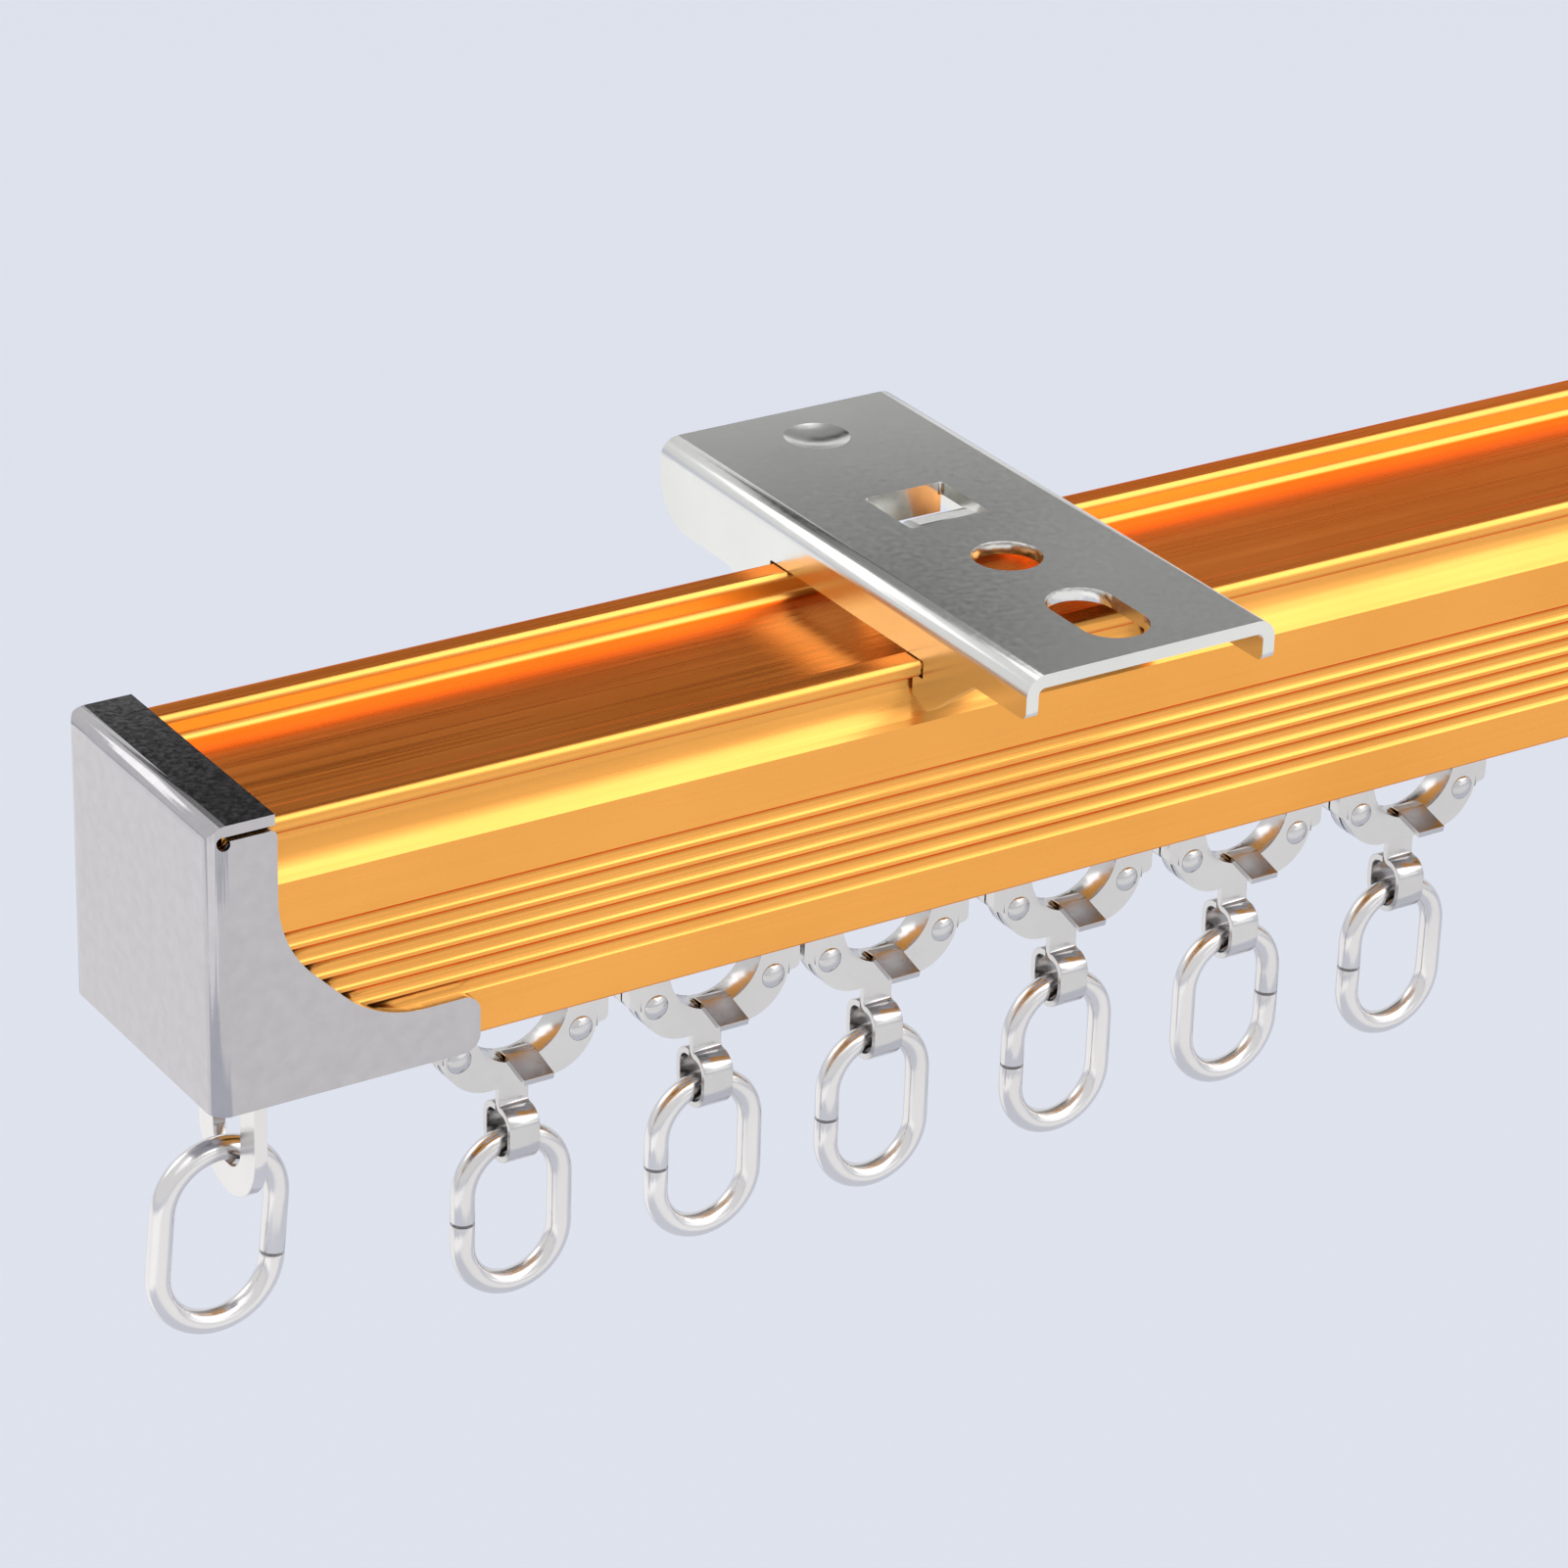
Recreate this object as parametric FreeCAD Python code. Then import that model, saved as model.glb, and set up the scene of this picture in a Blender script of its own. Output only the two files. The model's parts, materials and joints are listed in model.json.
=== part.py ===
import FreeCAD, Part
import math
import os

# Curtain track: a gold anodised channel rail with a sheet steel cap at each end,
# two ceiling brackets that clip over its top, and six wheeled runners with rings.
# Lengths are millimetres. X runs along the rail, Y from the room to the wall, Z up.
# The shapes are drawn from the left cap's end face (X 0), the rail's middle (Y 0)
# and the rail's underside (Z 0), and are moved to the left bracket's top when saved.

# Whole track
track_length = 300.0
bracket_from_end = 66.5

# Rail section
rail_width = 20.0
rail_height = 19.9
rail_wall = 1.3
rail_flange = 1.5
slot_width = 3.2
lip_thickness = 1.2
lip_inset = 0.1
neck_inset = 1.7
cove_height = 3.5
cove_inset = 1.6
cove_waist_rise = 1.34
cove_share = 0.75
trough_rim = 2.5
trough_depth = 1.8
roof_inset = 0.5
roof_radius = 0.8
chamber_shoulder = 1.3
rail_edge_radius = 0.2
lip_edge_radius = 0.5
trough_edge_radius = 0.5

# Shallow round grooves along the rail's two faces
groove_pitch = 1.4
groove_low_margin = 3.95
groove_top_margin = 3.85
groove_depth = 0.26
groove_width = 1.12

# End caps of bent sheet
cap_sheet = 0.8
cap_bend = 0.5
cap_top_reach = 4.9
cap_top_overhang = 0.5
cap_bottom_reach = 9.0
cap_bottom_gap = 0.2
cap_side_reach = 4.9
cap_side_top_gap = 0.2
cap_lobe_reach = 20.2
cap_lobe_height = 4.3
cap_lobe_radius = 1.3
cap_sweep_rise = 7.4
cap_sweep_radius = 8.7
cap_relief_radius = 0.45

# Fixed eye under each cap
eye_from_end = 6.7
eye_thickness = 1.0
eye_width = 8.5
eye_band = 2.2
eye_drop = 13.4

# Rings of split wire
ring_wire = 1.8
ring_split = 0.25
ring_play = 0.1
cap_ring_width = 10.7
cap_ring_height = 15.5
cap_ring_tilt = 5.0
cap_ring_offset = 1.15
cap_ring_split_drop = 2.1
runner_ring_width = 9.8
runner_ring_height = 13.8
runner_ring_split_drop = 0.0

# Ceiling brackets of bent sheet
bracket_sheet = 1.0
bracket_bend = 0.5
bracket_width = 21.0
bracket_room_reach = 22.6
bracket_wall_reach = 25.5
bracket_top_gap = 3.9
flange_room_depth = 3.2
flange_wall_depth = 6.4
flange_over_rail = 0.1
tooth_drop = 3.5
tooth_reach = 1.1
tooth_thickness = 1.4
tooth_back = 6.2
flange_end_radius = 3.8
flange_corner_radius = 0.6
hook_tip_radius = 0.3
hook_notch_radius = 0.2
seat_play = 0.05
hook_play = 0.15
screw_hole = 5.2
screw_hole_y = -4.75
slot_hole_width = 5.2
slot_hole_length = 9.0
slot_hole_y = -15.9
catch_hole_width = 6.8
catch_hole_length = 6.2
catch_hole_inset = 1.85
catch_hole_radius = 0.3
catch_width = 4.8
catch_lead = 0.2
catch_flat_reach = 2.0
catch_flat_drop = 0.18
catch_bend = 1.0
catch_drop = 3.4
catch_rim_drop = 1.4
catch_play = 0.3
dimple_y = 20.4
dimple_width = 5.0
dimple_depth = 0.5

# Runners
first_runner_x = 28.9
runner_gaps = [1.8, 0.4, 2.3, 1.6, 1.7]
ring_split_sides = [-1, -1, -1, -1, 1, -1]
plate_sheet = 1.1
plate_spread = 2.4
plate_width = 14.4
petal_width = 12.6
petal_bottom = 10.5
petal_radius = 3.9
shoulder_bottom = 7.25
shoulder_top = 1.0
petal_corner_radius = 0.35
shoulder_low_radius = 0.5
shoulder_high_radius = 1.5
boss_width = 6.0
boss_above_axle = 2.8
window_width = 7.8
window_bottom = 8.7
window_top = 2.6
window_top_radius = 2.0
collar_sheet = 0.7
collar_play = 0.05
rivet_spacing = 9.9
rivet_drop = 7.4
rivet_shank = 1.0
rivet_head = 2.0
rivet_head_height = 0.35

# Wheelsets
wheel_headroom = 3.8
wheel_from_wall = 2.2
wheel_from_slot = 0.3
wheel_hub_diameter = 4.4
wheel_rim_radius = 0.6
hub_play = 0.2
rolling_gap = 0.1
axle_diameter = 2.0
axle_play = 0.05
axle_head_diameter = 3.2
axle_head_height = 0.5

# Straps: up between the plates, through the window's edge and folded over it
strap_width = 2.45
strap_sheet = 0.5
strap_bend = 0.3
strap_play = 0.05
tongue_reach = 3.9
tongue_drop = 0.7
loop_width = 4.0
loop_bottom = 17.1
loop_top = 12.6
loop_shoulder_bend = 0.9

# Places that follow from the sizes above
slot_half = slot_width / 2
side = rail_width / 2
lip_half = side - lip_inset
neck_half = side - neck_inset
trough_half = side - trough_rim
cap_bottom_z = -cap_sheet
cap_top_z = rail_height + cap_sheet
lip_under_z = rail_height - lip_thickness
face_top_z = lip_under_z - cove_height
floor_z = rail_height - trough_depth
roof_z = floor_z - rail_wall
ceiling_z = rail_height + bracket_top_gap
plate_half = plate_spread / 2
wheel_radius = (roof_z - wheel_headroom - rail_flange - rolling_gap) / 2
wheel_z = rail_flange + rolling_gap + wheel_radius
catch_hole_y = trough_half - catch_hole_inset
runner_x = [first_runner_x]
for gap in runner_gaps:
    runner_x.append(runner_x[-1] + plate_width + gap)
eye_inner_bottom = -eye_drop + eye_band
loop_half = (loop_width - strap_sheet) / 2


def ring_rest(support_z, width, reach):
    """Height of a ring's top wire where the ring hangs on a support that is level out to a reach."""
    inner = width / 2 - ring_wire
    sag = inner - math.sqrt(inner ** 2 - reach ** 2)
    return support_z + ring_play + ring_wire / 2 + sag


runner_ring_z = ring_rest(-loop_bottom + strap_sheet, runner_ring_width, strap_width / 2)
cap_ring_z = ring_rest(eye_inner_bottom, cap_ring_width, cap_ring_offset + eye_thickness / 2)

# Shape helpers

V = FreeCAD.Vector
tiny = 1e-6


def across(point, at=0.0):
    """A drawing in the Y and Z plane, placed at an X."""
    return V(at, point.x, point.y)


def along(point, at=0.0):
    """A drawing in the X and Z plane, placed at a Y."""
    return V(point.x, at, point.y)


def flat(point, at=0.0):
    """A drawing in the X and Y plane, placed at a Z."""
    return V(point.x, point.y, at)


def round_corner(before, corner, after, radius):
    """Start, middle, end and centre of the arc that rounds a corner."""
    back = (before - corner).normalize()
    ahead = (after - corner).normalize()
    half = back.getAngle(ahead) / 2
    reach = radius / math.tan(half)
    centre = corner + (back + ahead).normalize() * (radius / math.sin(half))
    middle = centre + (corner - centre).normalize() * radius
    return corner + back * reach, middle, corner + ahead * reach, centre


def add_line(edges, start, end):
    if (end - start).Length > tiny:
        edges.append(Part.LineSegment(start, end).toShape())


def add_arc(edges, start, middle, end):
    edges.append(Part.Arc(start, middle, end).toShape())


def outline(corners, place, at=0.0):
    """Face inside a closed outline; each corner is its two coordinates and a radius."""
    points = [V(corner[0], corner[1], 0) for corner in corners]
    starts = []
    ends = []
    arcs = []
    count = len(points)
    for index, point in enumerate(points):
        radius = corners[index][2] if len(corners[index]) > 2 else 0
        if radius:
            before = points[index - 1]
            after = points[(index + 1) % count]
            start, middle, end, _ = round_corner(before, point, after, radius)
            arcs.append(middle)
        else:
            start = point
            end = point
            arcs.append(None)
        starts.append(start)
        ends.append(end)
    edges = []
    for index in range(count):
        if arcs[index] is not None:
            add_arc(edges, place(starts[index], at), place(arcs[index], at), place(ends[index], at))
        add_line(edges, place(ends[index], at), place(starts[(index + 1) % count], at))
    return Part.Face(Part.Wire(edges))


def strip_face(corners, thickness, place, at=0.0):
    """Face of a bent strip from its middle line; a bend's third value is its inside radius."""
    points = [V(corner[0], corner[1], 0) for corner in corners]
    sides = []
    for turn in (1, -1):
        edges = []
        last = None
        for index, point in enumerate(points):
            if index == 0 or index == len(points) - 1:
                other = points[1] if index == 0 else points[index - 1]
                run = (other - point) if index == 0 else (point - other)
                run.normalize()
                start = point + V(-run.y, run.x, 0) * (turn * thickness / 2)
                end = start
                middle = None
            else:
                radius = corners[index][2] + thickness / 2
                start, middle, end, centre = round_corner(
                    points[index - 1], point, points[index + 1], radius
                )
                run_in = (point - points[index - 1]).normalize()
                run_out = (points[index + 1] - point).normalize()
                start = start + V(-run_in.y, run_in.x, 0) * (turn * thickness / 2)
                end = end + V(-run_out.y, run_out.x, 0) * (turn * thickness / 2)
                middle = centre + (middle - centre).normalize() * (start - centre).Length
            if last is not None:
                add_line(edges, place(last, at), place(start, at))
            if middle is not None:
                add_arc(edges, place(start, at), place(middle, at), place(end, at))
            last = end
            if index == 0:
                first = start
        sides.append((first, edges, last))
    left, right = sides
    edges = list(left[1])
    add_line(edges, place(left[2], at), place(right[2], at))
    edges.extend(reversed(right[1]))
    add_line(edges, place(right[0], at), place(left[0], at))
    return Part.Face(Part.Wire(Part.__sortEdges__(edges)))


def box(low, high):
    size = high - low
    return Part.makeBox(size.x, size.y, size.z, low)


def joined(shapes):
    return shapes[0].fuse(shapes[1:]).removeSplitter()


def rod(radius, start, end):
    return Part.makeCylinder(radius, (end - start).Length, start, end - start)


def save(name, shape):
    shape = shape.copy()
    shape.translate(V(-bracket_from_end, 0, -ceiling_z))
    shape.exportStep(os.path.join("parts", name + ".step"))


# Rail


def cove_corner():
    """Corner and radius of the hollow between a face's top edge and the lip above it."""
    foot = V(side, face_top_z, 0)
    head = V(neck_half, lip_under_z, 0)
    waist = V(side - cove_inset, face_top_z + cove_waist_rise, 0)
    reach = cove_share * min((foot - waist).Length, (head - waist).Length)
    half = (foot - waist).getAngle(head - waist) / 2
    return waist.x, waist.y, reach * math.tan(half)


def rail_half():
    """Corners of the rail's right half, from the slot up to the trough's floor."""
    return [
        (slot_half, 0, rail_edge_radius),
        (side, 0, rail_edge_radius),
        (side, face_top_z),
        cove_corner(),
        (neck_half, lip_under_z, lip_edge_radius),
        (lip_half, lip_under_z, lip_edge_radius),
        (lip_half, rail_height, lip_edge_radius),
        (trough_half, rail_height, trough_edge_radius),
        (trough_half, floor_z, trough_edge_radius),
    ]


def mirrored(corners):
    return [(-corner[0],) + tuple(corner[1:]) for corner in reversed(corners)]


def groove_heights():
    """Heights of the grooves that fit on a face between its two plain margins."""
    room = face_top_z - groove_low_margin - groove_top_margin
    count = math.floor(room / groove_pitch + tiny) + 1
    return [groove_low_margin + index * groove_pitch for index in range(count)]


def groove_cutter(face_sign, z):
    """Round bar that cuts one shallow groove along a face."""
    half = groove_width / 2
    radius = (half ** 2 + groove_depth ** 2) / (2 * groove_depth)
    y = face_sign * (side + radius - groove_depth)
    return rod(radius, V(0, y, z), V(track_length, y, z))


def make_rail():
    inner = side - rail_wall
    chamber = [
        (trough_half - roof_inset, roof_z, roof_radius),
        (inner, face_top_z - chamber_shoulder, roof_radius),
        (inner, rail_flange, rail_edge_radius),
        (slot_half, rail_flange, rail_edge_radius),
    ]
    right = rail_half()
    corners = right + mirrored(right) + mirrored(chamber) + chamber
    start = cap_sheet + cap_bend
    section = outline(corners, across, start)
    rail = section.extrude(V(track_length - 2 * start, 0, 0))
    cutters = []
    for face_sign in (-1, 1):
        for z in groove_heights():
            cutters.append(groove_cutter(face_sign, z))
    return rail.cut(cutters)


# End caps


def cap_middles():
    """Middle planes of the cap's end, side and top sheets."""
    half = cap_sheet / 2
    return half, side + half, rail_height + half


def plan_outline():
    """Outside of the cap seen from above, with its two bent corners."""
    half = side + cap_sheet
    bend = cap_sheet + cap_bend
    return [(0, -half, bend), (rail_width, -half), (rail_width, half), (0, half, bend)]


def make_cap_flanges():
    """Top flange bent over from the end panel, and the bottom flange under the rail."""
    end_x, _, top_z = cap_middles()
    half = side + cap_top_overhang
    top = strip_face(
        [(cap_top_reach, top_z), (end_x, top_z, cap_bend), (end_x, rail_height / 2)],
        cap_sheet, along, -half,
    ).extrude(V(0, 2 * half, 0))
    half = side - cap_bottom_gap
    bottom = box(V(0, -half, cap_bottom_z), V(cap_bottom_reach, half, 0))
    plan = outline(plan_outline(), flat, -rail_width).extrude(V(0, 0, 3 * rail_width))
    return [top.common(plan), bottom.common(plan)]


def side_outline():
    """Side flange: tall at the end, swept down to a low lobe along the rail."""
    top_z = rail_height - cap_side_top_gap
    lobe_z = cap_bottom_z + cap_lobe_height
    return [
        (0, cap_bottom_z),
        (cap_lobe_reach, cap_bottom_z, cap_lobe_radius),
        (cap_lobe_reach, lobe_z, cap_lobe_radius),
        (cap_side_reach + cap_sweep_rise, lobe_z, cap_sweep_radius),
        (cap_side_reach, lobe_z + cap_sweep_rise, cap_sweep_radius),
        (cap_side_reach, top_z, cap_bend),
        (cap_sheet + cap_bend, top_z),
        (0, cap_top_z - cap_sheet - cap_bend),
    ]


def make_cap():
    end_x, side_y, _ = cap_middles()
    wall = strip_face(
        [
            (cap_lobe_reach, -side_y),
            (end_x, -side_y, cap_bend),
            (end_x, side_y, cap_bend),
            (cap_lobe_reach, side_y),
        ],
        cap_sheet, flat, cap_bottom_z,
    ).extrude(V(0, 0, cap_top_z - cap_bottom_z))
    reach = rail_width
    trim = outline(side_outline(), along, -reach).extrude(V(0, 2 * reach, 0))
    cap = joined([wall.common(trim)] + make_cap_flanges())
    relief_x = cap_sheet + cap_relief_radius / 2
    relief_z = rail_height - cap_side_top_gap - cap_relief_radius / 2
    for sign in (-1, 1):
        inner = V(relief_x, sign * (side - cap_bend), relief_z)
        outer = V(relief_x, sign * (side + 2 * cap_sheet), relief_z)
        cap = cap.cut(rod(cap_relief_radius, inner, outer))
    return cap


def make_eye():
    """Flat stirrup under the cap, with a full round at its foot."""
    half = eye_width / 2
    inner = half - eye_band
    top_z = cap_bottom_z - eye_band
    start = eye_from_end - eye_thickness / 2
    outer = outline(
        [(-half, -eye_drop, half), (half, -eye_drop, half), (half, cap_bottom_z), (-half, cap_bottom_z)],
        across, start,
    )
    hole = outline(
        [
            (-inner, eye_inner_bottom, inner),
            (inner, eye_inner_bottom, inner),
            (inner, top_z),
            (-inner, top_z),
        ],
        across, start,
    )
    return outer.cut(hole).extrude(V(eye_thickness, 0, 0))


def mirror_end(shape):
    return shape.mirror(V(track_length / 2, 0, 0), V(1, 0, 0))


# Rings


def make_ring(width, height, split_side, split_drop):
    """Oval wire ring whose top wire is centred on the origin, split on one side."""
    arc = (width - ring_wire) / 2
    leg = height - width
    disc = Part.Face(Part.Wire(Part.makeCircle(ring_wire / 2, V(arc, 0, -arc), V(0, 0, 1))))
    top = disc.revolve(V(0, 0, -arc), V(0, -1, 0), 180)
    bottom = top.copy()
    bottom.rotate(V(0, 0, -arc), V(0, 1, 0), 180)
    bottom.translate(V(0, 0, -leg))
    legs = [rod(ring_wire / 2, V(x, 0, -arc), V(x, 0, -arc - leg)) for x in (-arc, arc)]
    ring = joined([top, bottom] + legs)
    middle = V(split_side * arc, 0, -arc - leg / 2 - split_drop)
    reach = V(ring_wire, ring_wire, ring_split / 2)
    return ring.cut(box(middle - reach, middle + reach))


def make_cap_ring():
    """Ring that leans a little where it hangs in the left cap's eye."""
    ring = make_ring(cap_ring_width, cap_ring_height, 1, cap_ring_split_drop)
    ring.rotate(V(0, 0, -(cap_ring_width - ring_wire) / 2), V(0, 1, 0), cap_ring_tilt)
    ring.translate(V(eye_from_end - cap_ring_offset, 0, cap_ring_z))
    return ring


def make_runner_ring(split_side):
    ring = make_ring(runner_ring_width, runner_ring_height, split_side, runner_ring_split_drop)
    ring.translate(V(0, 0, runner_ring_z))
    return ring


# Ceiling brackets


def flange_outline():
    """Side flange of a bracket, with a hook under each of the rail's lips."""
    low_z = rail_height + flange_over_rail
    hook_z = lip_under_z - seat_play
    lip_y = lip_half + hook_play
    hook_y = lip_half - tooth_reach
    tip_z = rail_height - tooth_drop
    room_z = ceiling_z - flange_room_depth
    wall_z = ceiling_z - flange_wall_depth
    return [
        (-bracket_room_reach, ceiling_z),
        (-bracket_room_reach, room_z, flange_corner_radius),
        (-lip_y - tooth_back, room_z, flange_corner_radius),
        (-lip_y - tooth_thickness / 2, tip_z, hook_tip_radius),
        (-hook_y, tip_z + tooth_thickness / 2, hook_tip_radius),
        (-hook_y, hook_z, hook_notch_radius),
        (-lip_y, hook_z),
        (-lip_y, low_z, hook_notch_radius),
        (lip_y, low_z, hook_notch_radius),
        (lip_y, hook_z),
        (hook_y, hook_z, hook_notch_radius),
        (hook_y, tip_z + tooth_thickness / 2, hook_tip_radius),
        (lip_y + tooth_thickness / 2, tip_z, hook_tip_radius),
        (lip_y + tooth_back, wall_z, flange_corner_radius),
        (bracket_wall_reach, wall_z, flange_end_radius),
        (bracket_wall_reach, ceiling_z),
    ]


def plate_hole(width, length, y, radius):
    """Cutter for a hole in the bracket's plate."""
    half_w = width / 2
    half_l = length / 2
    corners = [
        (-half_w, y - half_l, radius),
        (half_w, y - half_l, radius),
        (half_w, y + half_l, radius),
        (-half_w, y + half_l, radius),
    ]
    low = ceiling_z - 2 * bracket_sheet
    return outline(corners, flat, low).extrude(V(0, 0, 3 * bracket_sheet))


def make_catch():
    """Spring tongue bent down from the plate into the rail's trough."""
    middle_z = ceiling_z - bracket_sheet / 2
    root_y = catch_hole_y - catch_hole_length / 2
    tip_y = trough_half - catch_play - bracket_sheet / 2
    face = strip_face(
        [
            (root_y - bracket_sheet, middle_z),
            (root_y + catch_lead, middle_z, catch_bend),
            (root_y + catch_flat_reach, middle_z - catch_flat_drop, catch_bend),
            (tip_y, middle_z - catch_drop - bracket_sheet / 2),
        ],
        bracket_sheet, across, -catch_width / 2,
    )
    return face.extrude(V(catch_width, 0, 0))


def make_catch_rim():
    """Rim turned down along the far edge of the catch's hole."""
    half = catch_hole_width / 2
    edge_y = catch_hole_y + catch_hole_length / 2
    under_z = ceiling_z - bracket_sheet
    return box(V(-half, edge_y, under_z - catch_rim_drop), V(half, edge_y + bracket_sheet, under_z))


def press_dimple(bracket):
    """Round dimple pressed down into the plate."""
    half = dimple_width / 2
    radius = (half ** 2 + dimple_depth ** 2) / (2 * dimple_depth)
    above = V(0, dimple_y, ceiling_z - dimple_depth + radius)
    below = above - V(0, 0, bracket_sheet)
    reach = V(dimple_width, dimple_width, 0)
    centre = V(0, dimple_y, ceiling_z)
    under = box(
        centre - reach - V(0, 0, dimple_depth + bracket_sheet),
        centre + reach - V(0, 0, bracket_sheet),
    )
    bump = Part.makeSphere(radius, below).common(under)
    return joined([bracket, bump]).cut(Part.makeSphere(radius, above))


def make_bracket():
    half = bracket_width / 2 - bracket_sheet / 2
    top_z = ceiling_z - bracket_sheet / 2
    low_z = rail_height - rail_width
    length = bracket_room_reach + bracket_wall_reach
    channel = strip_face(
        [(-half, low_z), (-half, top_z, bracket_bend), (half, top_z, bracket_bend), (half, low_z)],
        bracket_sheet, along, -bracket_room_reach,
    ).extrude(V(0, length, 0))
    trim = outline(flange_outline(), across, -bracket_width).extrude(V(2 * bracket_width, 0, 0))
    bracket = channel.common(trim)
    bracket = bracket.cut([
        plate_hole(catch_hole_width, catch_hole_length, catch_hole_y, catch_hole_radius),
        plate_hole(slot_hole_width, slot_hole_length, slot_hole_y, slot_hole_width / 2),
        rod(screw_hole / 2, V(0, screw_hole_y, low_z), V(0, screw_hole_y, 2 * ceiling_z)),
    ])
    bracket = joined([bracket, make_catch(), make_catch_rim()])
    return press_dimple(bracket)


# Runners, each drawn with its middle at X 0


def plate_outline():
    half = plate_width / 2
    petal = petal_width / 2
    top_z = wheel_z + boss_above_axle
    return [
        (-petal, -petal_bottom, petal_radius),
        (petal, -petal_bottom, petal_radius),
        (petal, -shoulder_bottom, petal_corner_radius),
        (half, -shoulder_bottom, shoulder_low_radius),
        (half, shoulder_top, shoulder_high_radius),
        (boss_width / 2, top_z, boss_width / 3),
        (-boss_width / 2, top_z, boss_width / 3),
        (-half, shoulder_top, shoulder_high_radius),
        (-half, -shoulder_bottom, shoulder_low_radius),
        (-petal, -shoulder_bottom, petal_corner_radius),
    ]


def window_outline(extra):
    """The window in the plates, or its outline moved out by a distance."""
    half = window_width / 2 + extra
    top = -window_top + extra
    low = -window_bottom - extra
    return [
        (-half, low, half),
        (half, low, half),
        (half, top, window_top_radius + extra),
        (-half, top, window_top_radius + extra),
    ]


def window_prism(extra, start, end):
    return outline(window_outline(extra), along, start).extrude(V(0, end - start, 0))


def plate_holes():
    holes = [rod(axle_diameter / 2 + axle_play, V(0, -plate_spread, wheel_z), V(0, plate_spread, wheel_z))]
    for x in (-rivet_spacing / 2, rivet_spacing / 2):
        holes.append(rod(rivet_shank / 2, V(x, -plate_spread, -rivet_drop), V(x, plate_spread, -rivet_drop)))
    return holes


def strap_slot():
    """Shallow recess in both plates that the strap's neck runs down in."""
    half = strap_width / 2 + strap_play
    deep = strap_sheet / 2 + strap_play
    return box(V(-half, -deep, -loop_top), V(half, deep, -window_bottom + petal_radius))


def make_front_plate():
    """Room side plate, with a collar round its window that reaches through the rear plate."""
    plate = outline(plate_outline(), along, -plate_half).extrude(V(0, plate_sheet, 0))
    plate = joined([plate, window_prism(collar_sheet, -plate_half, plate_half)])
    window = window_prism(0, -plate_spread, plate_spread)
    return plate.cut([window, strap_slot()] + plate_holes())


def make_rear_plate():
    """Wall side plate, with a window that fits round the front plate's collar."""
    plate = outline(plate_outline(), along, plate_half).extrude(V(0, -plate_sheet, 0))
    window = window_prism(collar_sheet + collar_play, -plate_spread, plate_spread)
    return plate.cut([window, strap_slot()] + plate_holes())


def make_rivet(x):
    """Rivet through both plates, with a domed head at each end."""
    half = rivet_head / 2
    radius = (half ** 2 + rivet_head_height ** 2) / (2 * rivet_head_height)
    shapes = [rod(rivet_shank / 2, V(x, -plate_half, -rivet_drop), V(x, plate_half, -rivet_drop))]
    for sign in (-1, 1):
        centre = V(x, sign * (plate_half + rivet_head_height - radius), -rivet_drop)
        face = V(x, sign * plate_half, -rivet_drop)
        slab = rod(rivet_head, face, face + V(0, sign * rivet_head_height, 0))
        shapes.append(Part.makeSphere(radius, centre).common(slab))
    return joined(shapes)


def make_rivets():
    return Part.makeCompound([make_rivet(x) for x in (-rivet_spacing / 2, rivet_spacing / 2)])


def wheel_faces():
    """Distances from the middle of a wheel's hub end, inner face and outer face."""
    inner = slot_half + wheel_from_slot
    return plate_half + hub_play, inner, side - rail_wall - wheel_from_wall


def make_axle():
    _, _, outer = wheel_faces()
    shapes = [rod(axle_diameter / 2, V(0, -outer, wheel_z), V(0, outer, wheel_z))]
    for sign in (-1, 1):
        start = V(0, sign * outer, wheel_z)
        shapes.append(rod(axle_head_diameter / 2, start, start + V(0, sign * axle_head_height, 0)))
    return joined(shapes)


def make_wheel(sign):
    """Round-edged wheel with a hub towards the plates, turned about its axle."""
    hub, inner, outer = wheel_faces()
    rim = wheel_radius
    corners = [
        (axle_diameter / 2, sign * hub),
        (wheel_hub_diameter / 2, sign * hub),
        (wheel_hub_diameter / 2, sign * inner),
        (rim, sign * inner, wheel_rim_radius),
        (rim, sign * outer, wheel_rim_radius),
        (axle_diameter / 2, sign * outer),
    ]
    section = outline(corners, flat)
    wheel = section.revolve(V(0, 0, 0), V(0, 1, 0), 360)
    wheel.translate(V(0, 0, wheel_z))
    return wheel


def make_strap():
    """Strip with a tongue over the window's edge, a neck between the plates and a loop."""
    half = strap_sheet / 2
    saddle_z = -window_bottom + strap_play + half
    saddle_z = saddle_z + window_width / 2 - math.sqrt((window_width / 2) ** 2 - (strap_width / 2) ** 2)
    top_z = -loop_top - half
    low_z = -loop_bottom + half
    loop_bend = loop_half - half
    face = strip_face(
        [
            (-tongue_reach, saddle_z - tongue_drop),
            (-plate_half, saddle_z, strap_bend),
            (0, saddle_z, strap_bend),
            (0, top_z, strap_bend),
            (-loop_half, top_z, loop_shoulder_bend),
            (-loop_half, low_z, loop_bend),
            (loop_half, low_z, loop_bend),
            (loop_half, top_z, loop_shoulder_bend),
            (half + strap_play, top_z),
        ],
        strap_sheet, across, -strap_width / 2,
    )
    return face.extrude(V(strap_width, 0, 0))


def save_runner(number, x, split_side):
    pieces = {
        "front_plate": make_front_plate(),
        "rear_plate": make_rear_plate(),
        "rivets": make_rivets(),
        "axle": make_axle(),
        "front_wheel": make_wheel(-1),
        "rear_wheel": make_wheel(1),
        "strap": make_strap(),
        "ring": make_runner_ring(split_side),
    }
    for piece, shape in pieces.items():
        shape.translate(V(x, 0, 0))
        save("runner_%d_%s" % (number, piece), shape)


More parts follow.
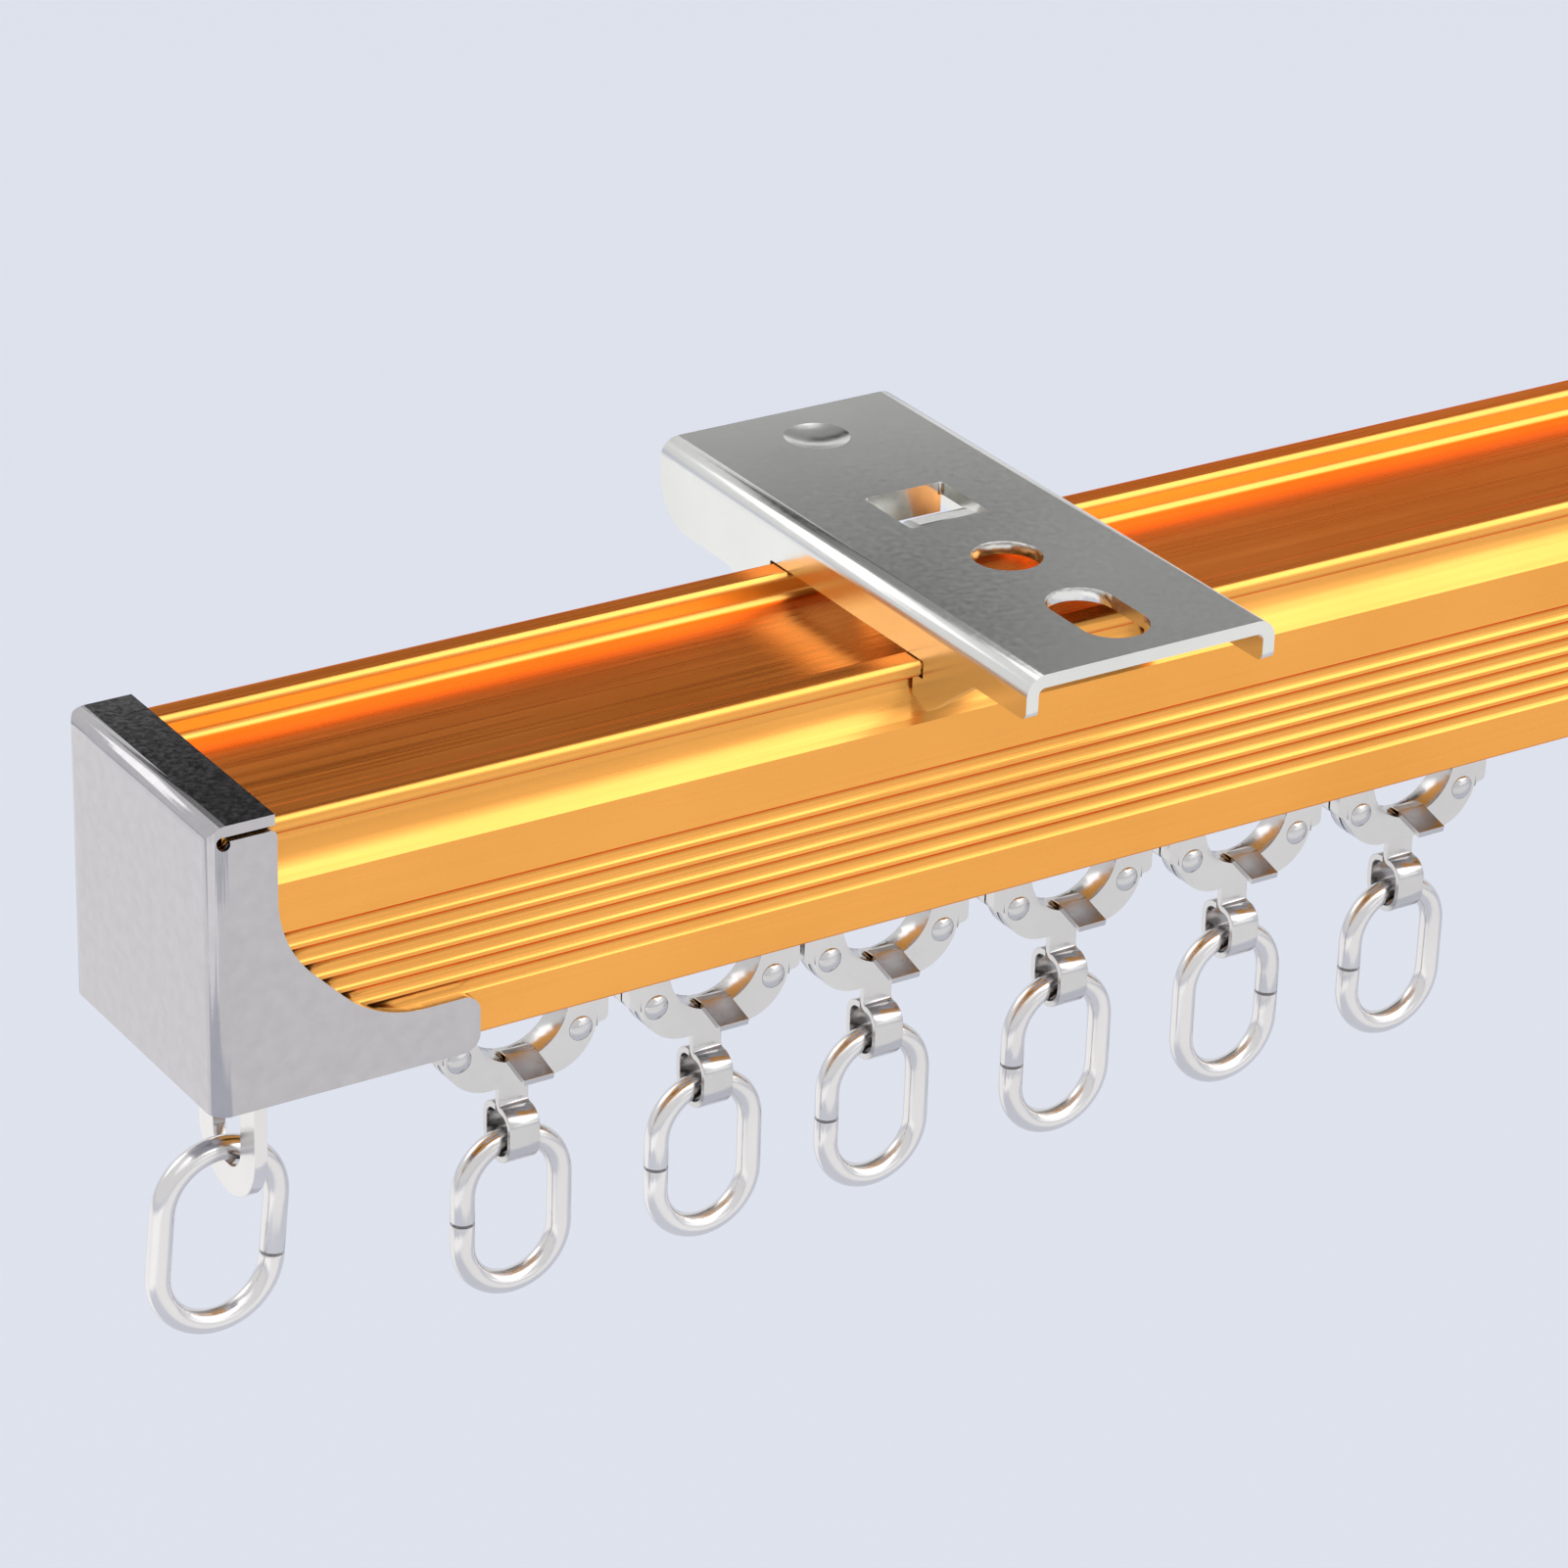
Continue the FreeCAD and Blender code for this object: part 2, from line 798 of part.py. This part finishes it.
def save_all():
    os.makedirs("parts", exist_ok=True)
    save("rail", make_rail())
    bracket = make_bracket()
    bracket.translate(V(bracket_from_end, 0, 0))
    ends = {
        "end_cap": make_cap(),
        "cap_eye": make_eye(),
        "cap_ring": make_cap_ring(),
        "bracket": bracket,
    }
    for name, shape in ends.items():
        save("left_" + name, shape)
        save("right_" + name, mirror_end(shape))
    for index, x in enumerate(runner_x):
        save_runner(index + 1, x, ring_split_sides[index])


save_all()
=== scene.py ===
import json
import math

import bpy
from mathutils import Matrix, Vector

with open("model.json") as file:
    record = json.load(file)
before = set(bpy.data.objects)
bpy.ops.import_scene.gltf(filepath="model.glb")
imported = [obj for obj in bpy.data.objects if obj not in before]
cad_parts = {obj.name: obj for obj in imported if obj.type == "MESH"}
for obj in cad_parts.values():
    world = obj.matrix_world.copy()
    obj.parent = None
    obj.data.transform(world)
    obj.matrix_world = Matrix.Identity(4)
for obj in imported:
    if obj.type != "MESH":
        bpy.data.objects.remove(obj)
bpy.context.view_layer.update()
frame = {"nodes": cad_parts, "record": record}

nodes = frame["nodes"]
scene = bpy.context.scene
scene.view_settings.view_transform = "Standard"

white = (1.0, 1.0, 1.0)
black = (0.0, 0.0, 0.0)


# Materials

# Most values of a noise lie between these two.
noise_low = 0.3
noise_high = 0.7
even_noise = (1.0, 1.0, 1.0)
along_rail = (0.01, 1.0, 1.0)
grain_detail = 3.0

metal_tone_detail = 4.0
metal_grain_height = 0.00002
speck_scale = 9000.0
speck_detail = 2.0
speck_height = 0.00001

plastic_dark = (0.80, 0.78, 0.74)
plastic_bright = (0.84, 0.83, 0.80)
plastic_tone_scale = 80.0
plastic_grain_scale = 3000.0
plastic_rough = (0.38, 0.5)
plastic_bump = 0.1
plastic_grain_height = 0.00001


class Nodes:
    """Shader node tree of one material."""

    def __init__(self, name):
        self.material = bpy.data.materials.new(name)
        self.material.use_nodes = True
        self.tree = self.material.node_tree
        self.shader = self.tree.nodes["Principled BSDF"]
        self.coords = self.tree.nodes.new("ShaderNodeTexCoord")

    def link(self, source, target):
        self.tree.links.new(source, target)

    def noise(self, scale, detail=grain_detail, stretch=even_noise):
        """Noise in object space; stretch multiplies the frequency along each axis."""
        mapping = self.tree.nodes.new("ShaderNodeMapping")
        mapping.inputs["Scale"].default_value = stretch
        self.link(self.coords.outputs["Object"], mapping.inputs["Vector"])
        texture = self.tree.nodes.new("ShaderNodeTexNoise")
        texture.inputs["Scale"].default_value = scale
        texture.inputs["Detail"].default_value = detail
        self.link(mapping.outputs["Vector"], texture.inputs["Vector"])
        return texture.outputs["Fac"]

    def blend(self, value, start, start_color, end, end_color):
        """Colour that runs from one to the other as the value goes from start to end."""
        ramp = self.tree.nodes.new("ShaderNodeValToRGB")
        first, last = ramp.color_ramp.elements
        first.position = start
        first.color = (*start_color, 1.0)
        last.position = end
        last.color = (*end_color, 1.0)
        self.link(value, ramp.inputs["Fac"])
        return ramp.outputs["Color"]

    def tone(self, noise, dark, bright):
        """Colour that wanders between dark and bright with a noise."""
        return self.blend(noise, noise_low, dark, noise_high, bright)

    def spread(self, noise, low, high):
        """Number that wanders between low and high with a noise."""
        node = self.tree.nodes.new("ShaderNodeMapRange")
        node.inputs["From Min"].default_value = noise_low
        node.inputs["From Max"].default_value = noise_high
        node.inputs["To Min"].default_value = low
        node.inputs["To Max"].default_value = high
        self.link(noise, node.inputs["Value"])
        return node.outputs["Result"]

    def seen_directly(self, color):
        """A colour towards the camera, and white in the reflections: a painted reflection, since the metal
        shows a paler, untinted edge wherever it is seen in another surface.
        """
        path = self.tree.nodes.new("ShaderNodeLightPath")
        return self.blend(path.outputs["Is Camera Ray"], 0.0, white, 1.0, color)

    def bump(self, value, strength, distance, under=None):
        node = self.tree.nodes.new("ShaderNodeBump")
        node.inputs["Strength"].default_value = strength
        node.inputs["Distance"].default_value = distance
        self.link(value, node.inputs["Height"])
        if under is not None:
            self.link(under, node.inputs["Normal"])
        return node.outputs["Normal"]


def metal(name, dark, bright, rough, grain, bump, stretch=even_noise, speck=0.0, edge=white, patch=60.0):
    """Metal with a grain; patch is the scale of its tone's changes, and edge tints it at a grazing view;
    the tint holds only where the metal is seen directly, and its reflections get a painted white edge.
    """
    kit = Nodes(name)
    kit.shader.inputs["Metallic"].default_value = 1.0
    # Painted reflection: the edge tint is white wherever the metal is seen in a reflection
    kit.link(kit.seen_directly(edge), kit.shader.inputs["Specular Tint"])
    patches = kit.noise(patch, metal_tone_detail)
    kit.link(kit.tone(patches, dark, bright), kit.shader.inputs["Base Color"])
    lines = kit.noise(grain, stretch=stretch)
    kit.link(kit.spread(lines, *rough), kit.shader.inputs["Roughness"])
    normal = kit.bump(lines, bump, metal_grain_height)
    if speck:
        specks = kit.noise(speck_scale, speck_detail)
        normal = kit.bump(specks, speck, speck_height, normal)
    kit.link(normal, kit.shader.inputs["Normal"])
    return kit.material


def plastic(name):
    kit = Nodes(name)
    patches = kit.noise(plastic_tone_scale)
    kit.link(kit.tone(patches, plastic_dark, plastic_bright), kit.shader.inputs["Base Color"])
    grain = kit.noise(plastic_grain_scale)
    kit.link(kit.spread(grain, *plastic_rough), kit.shader.inputs["Roughness"])
    kit.link(kit.bump(grain, plastic_bump, plastic_grain_height), kit.shader.inputs["Normal"])
    return kit.material


gold = metal(
    "gold_anodised", dark=(0.79, 0.355, 0.076), bright=(0.855, 0.395, 0.091), rough=(0.24, 0.36),
    grain=2600.0, bump=0.12, stretch=along_rail, edge=(1.0, 0.06, 0.28),
)
satin = metal(
    "satin_steel", dark=(0.45, 0.437, 0.454), bright=(0.485, 0.472, 0.486), rough=(0.11, 0.17),
    grain=2500.0, bump=0.10, speck=0.05, patch=900.0,
)
nickel = metal(
    "bright_nickel", dark=(0.66, 0.645, 0.64), bright=(0.74, 0.725, 0.72), rough=(0.16, 0.24),
    grain=700.0, bump=0.06,
)
sheet = metal(
    "nickel_sheet", dark=(0.66, 0.66, 0.64), bright=(0.74, 0.74, 0.72), rough=(0.18, 0.24),
    grain=1800.0, bump=0.04, speck=0.03,
)
plain = metal(
    "plain_nickel", dark=(0.56, 0.55, 0.55), bright=(0.62, 0.61, 0.61), rough=(0.16, 0.28),
    grain=900.0, bump=0.12,
)
axle_steel = metal(
    "axle_steel", dark=(0.48, 0.48, 0.50), bright=(0.55, 0.55, 0.57), rough=(0.25, 0.35),
    grain=1500.0, bump=0.10,
)
finishes = {
    "gold_anodised": gold,
    "satin_steel": satin,
    "bright_nickel": nickel,
    "plain_nickel": plain,
    "axle_steel": axle_steel,
    "white_plastic": plastic("white_plastic"),
}
slots = {part["node"]: part["material_slot"] for part in frame["record"]["subparts"]}


def finish_of(name):
    """The pressed brackets are duller than the other bright nickel pieces."""
    return sheet if name.endswith("bracket") else finishes[slots[name]]


# Softened edges: their widths, in metres, by the end of a node's name

edge_width = {"rail": 0.00008, "bracket": 0.00012, "end_cap": 0.00015, "plate": 0.00008, "strap": 0.00007}
other_edge_width = 0.00005
edge_segments = 2
sharp_angle = math.radians(40)
weld_distance = 0.000002


def edge_of(name):
    for ending, width in edge_width.items():
        if name.endswith(ending):
            return width
    return other_edge_width


def finish_node(name, obj):
    """Material of one node, and a small rounding on its sharp edges."""
    obj.data.materials.clear()
    obj.data.materials.append(finish_of(name))
    weld = obj.modifiers.new("weld", "WELD")
    weld.merge_threshold = weld_distance
    bevel = obj.modifiers.new("edges", "BEVEL")
    bevel.width = edge_of(name)
    bevel.segments = edge_segments
    bevel.limit_method = "ANGLE"
    bevel.angle_limit = sharp_angle
    bevel.use_clamp_overlap = True
    bevel.harden_normals = True


for name, obj in nodes.items():
    finish_node(name, obj)


# Camera

yaw = math.radians(33.0438)
pitch = math.radians(26.1281)
roll = math.radians(1.7419)
camera_place = (-0.212183, -0.302734, 0.160655)
focal_length_pixels = 5725.76
picture_width_pixels = 1601.0
sensor_width = 36.0
nearest = 0.01
farthest = 50.0
straight_up = Vector((0, 0, 1))


def aim(obj, target):
    direction = Vector(target) - obj.location
    obj.rotation_euler = direction.to_track_quat("-Z", "Y").to_euler()


def add_camera():
    camera = bpy.data.objects.new("camera", bpy.data.cameras.new("camera"))
    scene.collection.objects.link(camera)
    ahead = math.cos(pitch)
    forward = Vector((math.sin(yaw) * ahead, math.cos(yaw) * ahead, -math.sin(pitch)))
    right = forward.cross(straight_up).normalized()
    up = right.cross(forward)
    camera_x = right * math.cos(roll) + up * math.sin(roll)
    camera_y = up * math.cos(roll) - right * math.sin(roll)
    place = Matrix((camera_x, camera_y, -forward)).transposed().to_4x4()
    place.translation = Vector(camera_place)
    camera.matrix_world = place
    camera.data.sensor_width = sensor_width
    camera.data.lens = sensor_width * focal_length_pixels / picture_width_pixels
    camera.data.clip_start = nearest
    camera.data.clip_end = farthest
    scene.camera = camera


add_camera()


# Floor, cards and lights

middle = (0.03, 0.0, -0.02)
floor_color = (0.80, 0.83, 0.92)
matt_roughness = 0.9
matt_gloss = 0.1
dark_card_turn = math.radians(-9.5)
world_color = (0.885, 0.888, 0.895)


def matt_surface(name, color):
    material = bpy.data.materials.new(name)
    material.use_nodes = True
    shader = material.node_tree.nodes["Principled BSDF"]
    shader.inputs["Base Color"].default_value = (*color, 1.0)
    shader.inputs["Roughness"].default_value = matt_roughness
    shader.inputs["Specular IOR Level"].default_value = matt_gloss
    return material


def card(name, size, location, target, material):
    """Rectangle that faces a point, or lies flat where there is none."""
    bpy.ops.mesh.primitive_plane_add(size=1.0, location=location)
    obj = bpy.context.object
    obj.name = name
    obj.scale = (*size, 1.0)
    if target is not None:
        aim(obj, target)
    obj.data.materials.append(material)
    return obj


def glow_card(name, size, location, radiance, target=None):
    """Evenly lit rectangle that is seen only in the reflections."""
    material = matt_surface(name, black)
    shader = material.node_tree.nodes["Principled BSDF"]
    shader.inputs["Emission Color"].default_value = (*white, 1.0)
    shader.inputs["Emission Strength"].default_value = radiance
    obj = card(name, size, location, target, material)
    obj.visible_diffuse = False
    obj.visible_shadow = False
    return obj


def softbox(name, size, location, target, power):
    light = bpy.data.lights.new(name, "AREA")
    light.shape = "RECTANGLE"
    light.size, light.size_y = size
    light.energy = power
    obj = bpy.data.objects.new(name, light)
    scene.collection.objects.link(obj)
    obj.location = location
    aim(obj, target)


card("floor", size=(14.0, 14.0), location=(0.0, 0.0, -0.45), target=None,
     material=matt_surface("floor", floor_color))

# Behind the rail, for the faces that look up: the trough's floor, the brackets' plates and
# the left cap's top
glow_card("grey_card", size=(0.95, 0.50), location=(0.425, 0.25, 0.355), radiance=0.29,
          target=(0.425, 0.0, 0.355))
dark_card = glow_card("dark_card", size=(0.162, 0.062), location=(0.100, 0.249, 0.1560), radiance=0.0,
                      target=(0.100, 0.0, 0.1560))
dark_card.rotation_euler.rotate_axis("Z", dark_card_turn)

# Above and around, for the bends, lips and hollows
glow_card("overhead", size=(2.4, 2.5), location=(0.53, -0.31, 1.09), radiance=2.6, target=middle)
glow_card("front", size=(1.4, 0.28), location=(0.74, -1.30, 0.12), radiance=1.4, target=middle)
glow_card("back_left", size=(0.7, 0.7), location=(-0.62, 1.05, 0.69), radiance=2.0, target=middle)

# On the floor, for the upright faces and the left cap's corner
glow_card("front_floor", size=(2.4, 2.0), location=(0.60, -1.40, -0.44), radiance=1.05)
glow_card("left_floor", size=(1.3, 1.3), location=(-0.75, 0.85, -0.44), radiance=1.15)
glow_card("corner_floor", size=(1.0, 1.8), location=(-1.11, -0.70, -0.44), radiance=1.25)

softbox("key", size=(1.6, 1.6), location=(-0.7, -0.9, 1.7), target=middle, power=3.0)

world = bpy.data.worlds.new("world")
world.use_nodes = True
background = world.node_tree.nodes["Background"]
background.inputs["Color"].default_value = (*world_color, 1.0)
background.inputs["Strength"].default_value = 1.0
scene.world = world
